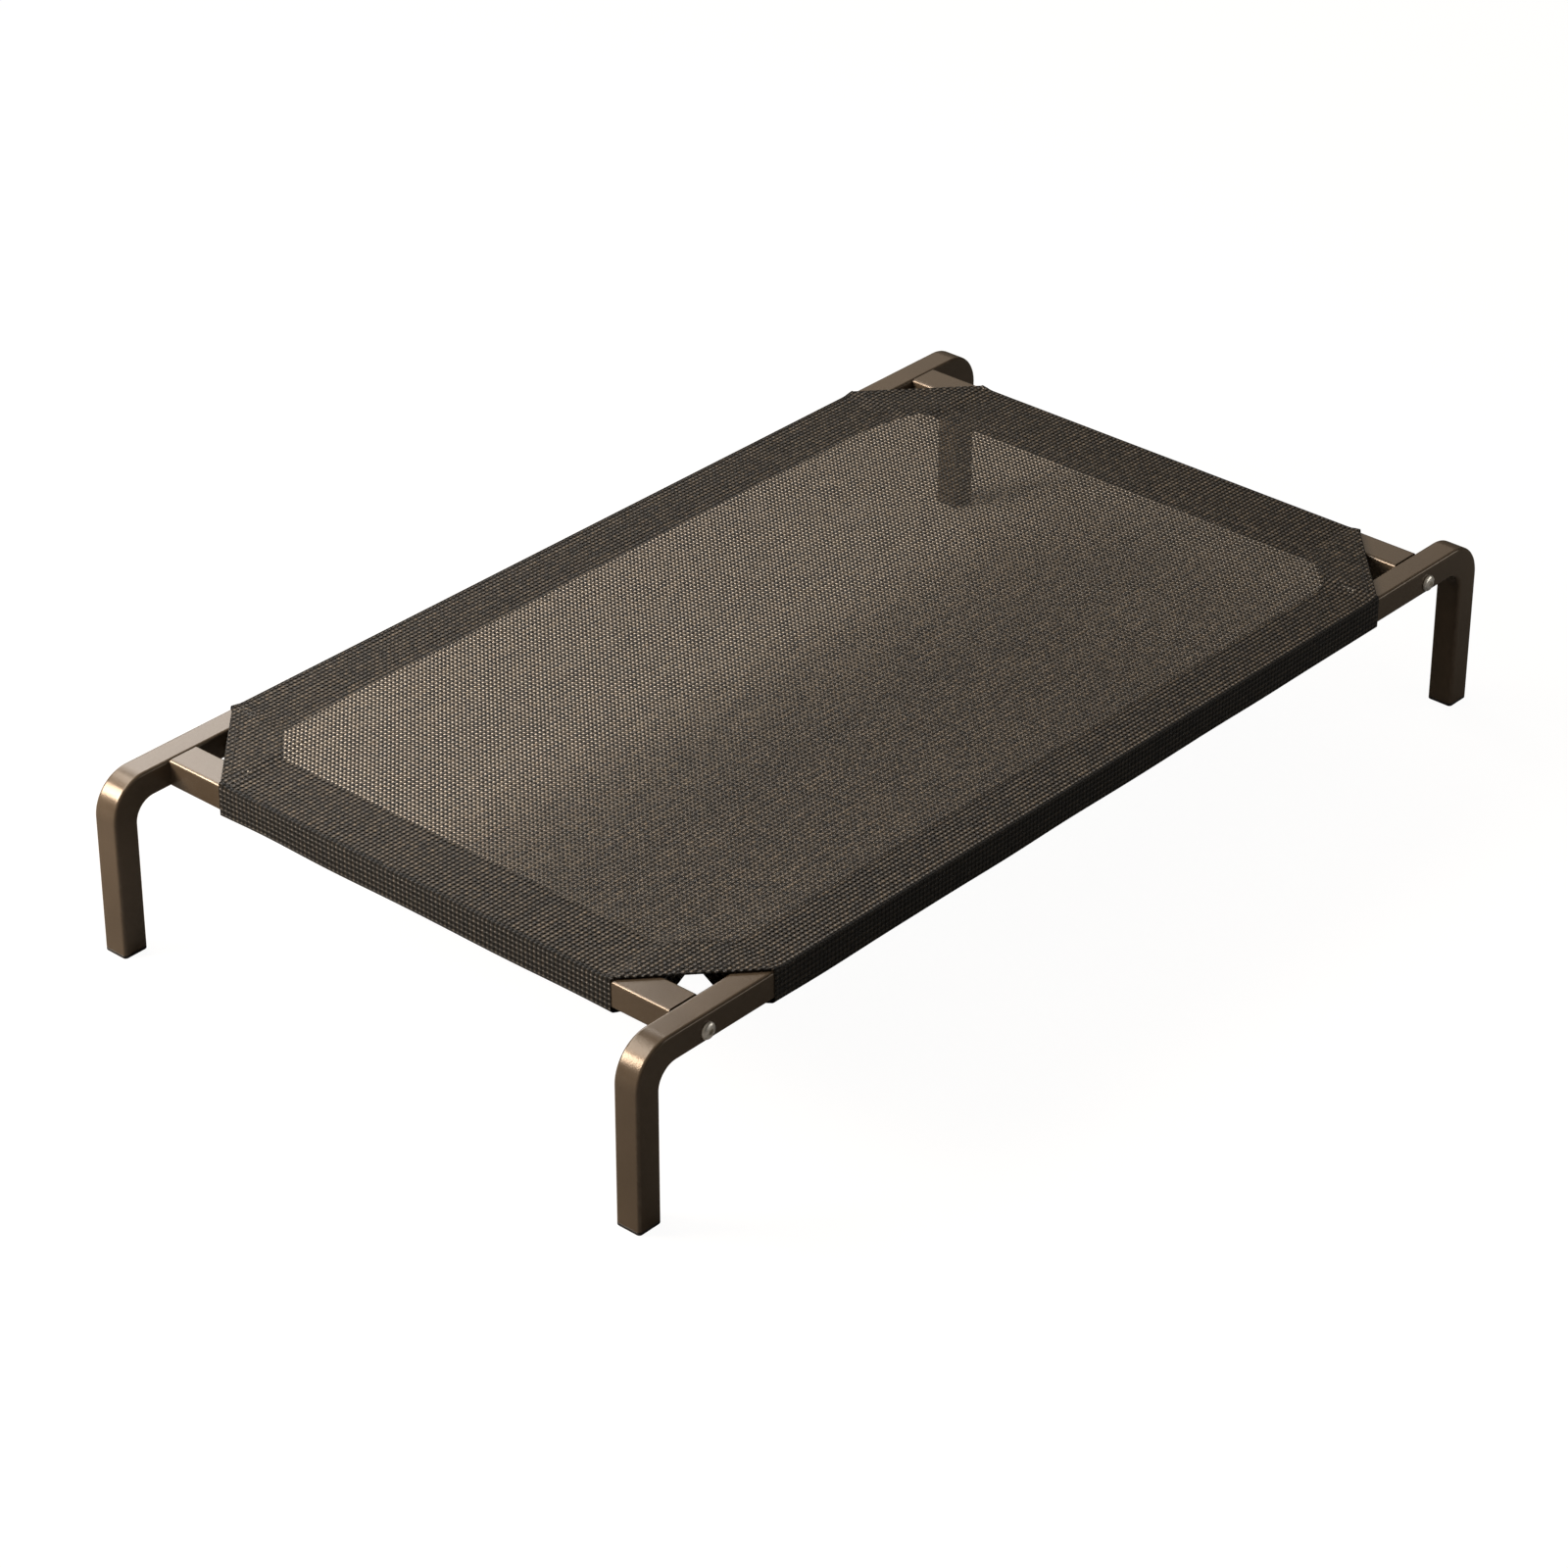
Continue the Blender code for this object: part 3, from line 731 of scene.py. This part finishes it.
def rounded_path(corners, radii, steps=8):
    """A flat path through the corners, with each inner corner rounded to its radius."""
    corners = [Vector(corner) for corner in corners]
    path = [corners[0]]
    for before, corner, after, radius in zip(corners, corners[1:], corners[2:], radii):
        back, on = (before - corner).normalized(), (after - corner).normalized()
        half = back.angle(on) / 2
        centre = corner + (back + on).normalized() * radius / sin(half)
        start = corner + back * radius / math.tan(half) - centre
        end = corner + on * radius / math.tan(half) - centre
        turn = math.atan2(start.cross(end), start.dot(end))
        for i in range(steps + 1):
            c, s = cos(turn * i / steps), sin(turn * i / steps)
            path.append(centre + Vector((start.x * c - start.y * s, start.x * s + start.y * c)))
    path.append(corners[-1])
    return path


def run_lengths(path):
    steps = [0.0] + [(b - a).length for a, b in zip(path, path[1:])]
    return np.cumsum(steps)


def sleeve_profile(outer, inner, seam):
    """The middle line of a sleeve round its rail, from the panel to the seam.

    Its points are (distance out, height).
    """
    wall = outer + CLEAR + THICK / 2
    bottom = SLEEVE_BOTTOM + THICK / 2
    tuck = inner - TUCK, HEIGHT - TUBE - TUCK - THICK / 2
    lap = LAY - THICK - CLEAR
    corners = [(outer - EDGE_RADIUS, LAY), (wall, LAY), (wall, bottom), tuck, (seam + LAP, lap), (seam, lap)]
    return rounded_path(corners, [WRAP, TURN_UNDER, TURN_UP, TURN_LAP])


def waviness(along, seed):
    """A slow random wave along a sleeve, between about -1 and 1."""
    rng = random.Random(seed)
    total = np.zeros_like(along)
    for _ in range(SWAY_WAVES):
        total += np.sin(along * rng.uniform(9.0, 60.0) + rng.uniform(0, 2 * pi)) / 3
    return total


def seam_quarter():
    """The seam in the back right quarter, from the middle of the back to the middle of the right end."""
    corners = [(0, SEAM_Y), (SEAM_X - SEAM_CUT, SEAM_Y), (SEAM_X, SEAM_Y - SEAM_CUT), (SEAM_X, 0)]
    return rounded_path(corners, [SEAM_ROUND, SEAM_ROUND], 10)


def build_sleeve(name, node, cloth, profile, reach, seam, seed, place, uv):
    """One sleeve: its profile carried along the rail, with a slightly uneven lower edge.

    The under layer goes further than the outside at each end, and its edge follows the seam line,
    which seam gives as (distance along, distance out).
    """
    along = np.linspace(-reach, reach, LONG_STATIONS if reach == CUT_X else SHORT_STATIONS)
    runs = run_lengths(profile)
    wave = waviness(along, seed)
    last = profile[-1].x
    tuck = max(corner.x for corner, run in zip(profile, runs) if run > runs[-1] - 2 * TUBE)
    wall_top, wall_end = 2 * WRAP, HEIGHT - SLEEVE_BOTTOM
    points, uvs = [], []
    for position, sway in zip(along, wave):
        for corner, run in zip(profile, runs):
            out, z = corner
            under = float(smoothstep(wall_end, wall_end + TUBE, run))
            position_here = position * (1 + under * UNDER_REACH / reach)
            pull = last - float(np.interp(abs(position_here), *seam))
            if run > wall_end + TUBE:
                out -= pull * min(1.0, max(0.0, (tuck - out) / (tuck - last - LAP)))
            low = float(smoothstep(LAY - SWAY_FROM, SLEEVE_BOTTOM, z))
            on_top = float(smoothstep(LAY - WRAP, LAY, z)) if run < wall_top else 0.0
            z += low * SWAY * sway
            x, y = place(position_here, out)
            lift = float(corner_lift(x, y)) * on_top
            points.append((x, y, z + lift))
            uvs.append(uv(position_here, run))
    faces = grid_faces(len(along), len(profile))
    # The whole sleeve gets painted shade: darker yarn and closed, dark holes
    sleeve = add_piece(name, points, faces, cloth, uvs, "weave", backed=np.ones(len(points)))
    finish_piece(sleeve, "mesh_cloth", node)


def build_sleeves(cloth):
    """The panel's edges go over the rails, back under them and up to the seam."""
    long_profile = sleeve_profile(HALF_WIDTH, HALF_WIDTH - TUBE, SEAM_Y)
    short_profile = sleeve_profile(CROSS_HIGH.x, CROSS_LOW.x, SEAM_X)
    quarter = np.array([tuple(point) for point in seam_quarter()])
    long_seam, short_seam = (quarter[:, 0], quarter[:, 1]), (quarter[::-1, 1], quarter[::-1, 0])
    for seed, (side, sign) in enumerate(SIDES.items()):
        build_sleeve(
            f"cloth_sleeve_{side}", f"sleeve_{side}", cloth, long_profile, CUT_X, long_seam, seed,
            lambda position, out, sign=sign: (position, sign * out),
            lambda position, run, sign=sign: (position, sign * (LAY_Y + run)),
        )
    for seed, (end, sign) in enumerate(ENDS.items()):
        build_sleeve(
            f"cloth_sleeve_{end}", f"sleeve_{end}", cloth, short_profile, CUT_Y, short_seam, 10 + seed,
            lambda position, out, sign=sign: (sign * out, position),
            lambda position, run, sign=sign: (sign * (LAY_X + run), position),
        )


def resampled(path, count):
    """Evenly spaced points along a flat path."""
    runs = run_lengths(path)
    wanted = np.linspace(0, runs[-1], count)
    flat = np.array([tuple(point) for point in path])
    return np.stack([np.interp(wanted, runs, flat[:, axis]) for axis in (0, 1)], -1)


def build_hems(cloth):
    """At each cut corner the cloth folds round the edge and lies double as far as the seam."""
    fold = DOUBLE / 2
    fold_steps, layer_steps, columns = 8, 9, 33
    quarter = resampled(seam_quarter(), SEAM_POINTS)
    inner = quarter[(quarter[:, 0] >= CUT_X) & (quarter[:, 1] >= CUT_Y)]
    inner = resampled([Vector(point) for point in inner], columns)
    outer_start, outer_end = np.array([CUT_X, LAY_Y]), np.array([LAY_X, CUT_Y])
    outer = outer_start + (outer_end - outer_start) * np.linspace(0, 1, columns)[:, None]
    outward = np.array([outer_start[1] - outer_end[1], outer_end[0] - outer_start[0]])
    outward /= np.linalg.norm(outward)
    for side, side_sign in SIDES.items():
        for end, end_sign in ENDS.items():
            points, uvs = [], []
            for i in range(layer_steps):
                share = i / (layer_steps - 1)
                for near, far in zip(inner, outer):
                    x, y = near + (far - near) * share
                    points.append((x, y, float(rest_height(x, y))))
                    uvs.append((x, y))
            for i in range(1, fold_steps + 1):
                turn = pi * i / fold_steps
                for x, y in outer + outward * fold * sin(turn):
                    points.append((x, y, LAY + fold * (1 - cos(turn))))
                    uvs.append((x, y) + outward * fold * turn)
            flip = np.array([end_sign, side_sign, 1])
            rows = layer_steps + fold_steps
            # The whole hem gets painted shade: darker yarn and closed, dark holes
            hem = add_piece(
                f"cloth_hem_{side}_{end}",
                np.array(points) * flip,
                grid_faces(rows, columns),
                cloth,
                np.array(uvs) * flip[:2],
                "weave",
                backed=np.ones(len(points)),
            )
            finish_piece(hem, "mesh_cloth", f"corner_hem_{side}_{end}")


STITCH_PITCH = 0.0042
STITCH_LONG = 0.0030
STITCH_RADIUS = 0.00028
STITCH_OUT = 0.0012  # the seam's row lies just outside the edge of the under layer
HEM_IN = 0.007  # the corners' rows, from the edge of the panel
HEM_END = 0.002  # and how far they run in over the sleeves' ends


def build_stitches(name, lines, material):
    """Rows of separate stitches along lines of (point, up) pairs that are spaced a stitch apart."""
    sides, rings = 6, (-1.0, -0.8, 0.0, 0.8, 1.0)
    sizes = (0.25, 0.8, 1.0, 0.8, 0.25)
    points, uvs, faces = [], [], []
    for line in lines:
        for (first, up), (second, _) in zip(line, line[1:]):
            middle, along = (first + second) / 2, (second - first).normalized()
            across = along.cross(up).normalized()
            start = len(points)
            for place, size in zip(rings, sizes):
                dip = -0.5 * STITCH_RADIUS * place * place
                for k in range(sides):
                    turn = 2 * pi * k / sides
                    offset = across * cos(turn) + up * sin(turn)
                    on_line = middle + along * (place * STITCH_LONG / 2) + up * dip
                    points.append(on_line + offset * STITCH_RADIUS * size)
                    uvs.append((place * STITCH_LONG / 2, turn * STITCH_RADIUS))
            for r in range(len(rings) - 1):
                for k in range(sides):
                    m = (k + 1) % sides
                    a, b = start + r * sides, start + (r + 1) * sides
                    faces.append((a + k, a + m, b + m, b + k))
            faces.append(tuple(start + k for k in reversed(range(sides))))
            last = start + (len(rings) - 1) * sides
            faces.append(tuple(last + k for k in range(sides)))
    return add_piece(name, points, faces, material, uvs, "along")


def over_panel(x, y):
    """A point where a stitch's middle lies on the panel, and the way up."""
    z = float(rest_height(x, y) + corner_lift(x, y))
    return Vector((x, y, z + THICK / 2 + STITCH_RADIUS * 0.4)), Vector((0, 0, 1))


def build_seams(material):
    """The seam that closes the sleeves, and a row along each cut corner."""
    quarter = [tuple(point) for point in seam_quarter()]
    loop = quarter + [(x, -y) for x, y in reversed(quarter)]
    loop += [(-x, -y) for x, y in quarter] + [(-x, y) for x, y in reversed(quarter)]
    path = [Vector((x + math.copysign(STITCH_OUT, x), y + math.copysign(STITCH_OUT, y))) for x, y in loop]
    total = run_lengths(path)[-1]
    around = resampled(path, int(total / STITCH_PITCH))
    lines = [[over_panel(x, y) for x, y in around]]
    for side_sign in SIDES.values():
        for end_sign in ENDS.values():
            start = np.array([CUT_X - HEM_END, LAY_Y - HEM_IN])
            end = np.array([LAY_X - HEM_IN, CUT_Y - HEM_END])
            count = int(np.linalg.norm(end - start) / STITCH_PITCH)
            row = [start + (end - start) * i / count for i in range(count + 1)]
            lines.append([over_panel(end_sign * x, side_sign * y) for x, y in row])
    seam = build_stitches("seam_stitches", lines, material)
    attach(seam, "root")


def finish_piece(piece, slot, *nodes):
    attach(piece, "root")
    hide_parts(*nodes)


# ---------------------------------------------------------------- stage

CAMERA_TARGET = Vector((0.0, 0.0, 0.1038))
CAMERA_AZIMUTH = math.radians(40.996)
CAMERA_ELEVATION = math.radians(30.133)
CAMERA_ROLL = math.radians(0.307)
CAMERA_DISTANCE = 4.142
CAMERA_LENS = 110.76  # millimetres, on a 36 mm sensor
CAMERA_SHIFT = (-0.0207, -0.0444)


def build_camera():
    level = cos(CAMERA_ELEVATION)
    back = Vector((-cos(CAMERA_AZIMUTH) * level, -sin(CAMERA_AZIMUTH) * level, sin(CAMERA_ELEVATION)))
    right = (-back).cross(Vector((0, 0, 1))).normalized()
    up = right.cross(-back)
    turned_right = cos(CAMERA_ROLL) * right + sin(CAMERA_ROLL) * up
    turned_up = cos(CAMERA_ROLL) * up - sin(CAMERA_ROLL) * right
    data = bpy.data.cameras.new("camera")
    data.sensor_width = 36.0
    data.lens = CAMERA_LENS
    data.shift_x, data.shift_y = CAMERA_SHIFT
    data.clip_end = 60.0
    camera = bpy.data.objects.new("camera", data)
    rotation = Matrix((turned_right, turned_up, back)).transposed().to_4x4()
    camera.matrix_world = Matrix.Translation(CAMERA_TARGET + CAMERA_DISTANCE * back) @ rotation
    bpy.context.scene.collection.objects.link(camera)
    bpy.context.scene.camera = camera


# Name, place, what it points at, width, height, watts, colour and spread in radians
LIGHTS = [
    ("key", (-1.85, 1.50, 1.30), (0, 0, 0.1), 1.1, 0.8, 80.0, (1.0, 0.85, 0.70), pi),
    ("top_panel", (-0.95, 1.35, 2.00), (-0.4, -0.1, 0.16), 1.7, 0.8, 24.0, (1.0, 0.97, 0.93), pi),
    ("back_panel", (0.57, 2.29, 1.65), (-0.75, 0.15, 0.16), 2.1, 1.4, 3.8, (0.98, 0.99, 1.0), 0.95),
    ("right_panel", (2.2, 1.6, 1.6), (0.3, 0.0, 0.16), 1.6, 1.2, 3.1, (1.0, 0.90, 0.78), pi),
    ("front_card", (0.90, -1.35, 0.55), (0.0, -0.3, 0.15), 1.5, 0.45, 3.6, (1.0, 0.96, 0.90), pi),
    ("front_strip", (0.2, -3.0, 0.35), (0, -0.3, 0.15), 1.0, 0.3, 1.0, (1.0, 0.94, 0.86), pi),
]


def area_light(name, place, aim, wide, tall, power, colour, spread):
    data = bpy.data.lights.new(name, "AREA")
    data.shape = "RECTANGLE"
    data.size, data.size_y = wide, tall
    data.energy = power
    data.color = colour
    data.spread = spread
    light = bpy.data.objects.new(name, data)
    light.location = place
    light.visible_camera = False
    light.rotation_euler = (Vector(aim) - Vector(place)).to_track_quat("-Z", "Y").to_euler()
    bpy.context.scene.collection.objects.link(light)


FLOOR_HALF = 14.0
FLOOR_WHITE = 1.12  # how bright the floor is where it is seen directly
FLOOR_SHARE = 0.85  # and how much of what is seen there is that, and not the lit paper
FLOOR_BOUNCE = 0.20  # how much light it sends back to the bed
BACKDROP = 1.0
DIM, BRIGHT = 0.03, 0.30  # the studio's light, from its dim side to its bright side
STUDIO_COLOUR = (1.0, 0.88, 0.74, 1.0)
BRIGHT_SIDE = Vector((-0.50, 0.70, 0.50))


def build_floor():
    """Pale paper: nearly white where it is seen directly, warm and shadowed through the cloth."""
    g = Graph("floor_paper")
    tone = g.noise(g.position(), 0.8, 2.0, 0.5)
    base = g.mix_colour(g.vary(tone, 0.0, 1.0), PAPER_DARK, PAPER_PALE)
    path = g.node("ShaderNodeLightPath").outputs
    open_view = g.math("LESS_THAN", path["Transparent Depth"], 0.5)
    direct = g.math("MULTIPLY", path["Is Camera Ray"], open_view)
    base = g.mix_colour(path["Is Camera Ray"], (FLOOR_BOUNCE, FLOOR_BOUNCE, FLOOR_BOUNCE, 1), base)
    g.set(base_color=base, roughness=0.9, specular_ior_level=0.0)
    glow = g.node("ShaderNodeEmission", {"Color": (1.0, 1.0, 1.0, 1.0), "Strength": FLOOR_WHITE})
    share = g.math("MULTIPLY", direct, FLOOR_SHARE)
    mixed = g.node("ShaderNodeMixShader", {0: share, 1: g.shader.outputs[0], 2: glow.outputs[0]})
    g.put(mixed.outputs[0], g.tree.nodes["Material Output"].inputs["Surface"])
    corners = [(x * FLOOR_HALF, y * FLOOR_HALF, 0) for x, y in ((-1, -1), (1, -1), (1, 1), (-1, 1))]
    floor = add_piece("floor", corners, [(0, 1, 2, 3)], g.material)
    floor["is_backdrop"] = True


def build_world():
    """A dim studio that is brighter above and on the key's side, with a pale backdrop."""
    world = bpy.data.worlds.new("studio")
    world.use_nodes = True
    tree = world.node_tree
    place = tree.nodes.new("ShaderNodeTexCoord")
    facing = tree.nodes.new("ShaderNodeVectorMath")
    facing.operation = "DOT_PRODUCT"
    facing.inputs[1].default_value = BRIGHT_SIDE.normalized()
    level = tree.nodes.new("ShaderNodeMapRange")
    level.interpolation_type = "SMOOTHSTEP"
    for key, value in {"From Min": -0.5, "From Max": 1.0, "To Min": DIM, "To Max": BRIGHT}.items():
        level.inputs[key].default_value = value
    studio = tree.nodes["Background"]
    studio.inputs["Color"].default_value = STUDIO_COLOUR
    backdrop = tree.nodes.new("ShaderNodeBackground")
    backdrop.inputs["Color"].default_value = (BACKDROP, BACKDROP, BACKDROP, 1.0)
    path = tree.nodes.new("ShaderNodeLightPath")
    either = tree.nodes.new("ShaderNodeMixShader")
    tree.links.new(place.outputs["Generated"], facing.inputs[0])
    tree.links.new(facing.outputs["Value"], level.inputs["Value"])
    tree.links.new(level.outputs[0], studio.inputs["Strength"])
    tree.links.new(path.outputs["Is Camera Ray"], either.inputs[0])
    tree.links.new(studio.outputs[0], either.inputs[1])
    tree.links.new(backdrop.outputs[0], either.inputs[2])
    tree.links.new(either.outputs[0], tree.nodes["World Output"].inputs["Surface"])
    bpy.context.scene.world = world


def build_stage():
    build_floor()
    build_world()
    for light in LIGHTS:
        area_light(*light)
    bpy.context.scene.view_settings.view_transform = "Standard"


def build_bed():
    paint, zinc, steel = bronze_paint(), zinc_plate(), bare_steel()
    plastic, cloth, sewing = foot_plastic(), mesh_cloth(), thread()
    build_side_rails(paint)
    build_cross_rails(paint)
    build_bolts(zinc)
    build_feet(plastic)
    build_panel(cloth)
    build_sleeves(cloth)
    build_hems(cloth)
    build_seams(sewing)
    for name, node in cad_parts.items():
        if name.startswith(("end_plate", "weld_nut")):
            node.data.materials.clear()
            node.data.materials.append(steel)


build_camera()
build_stage()
build_bed()

boxes = {"cad": CAD_BOX, "visual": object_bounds()}
{name: [list(corner) for corner in box] for name, box in boxes.items()}
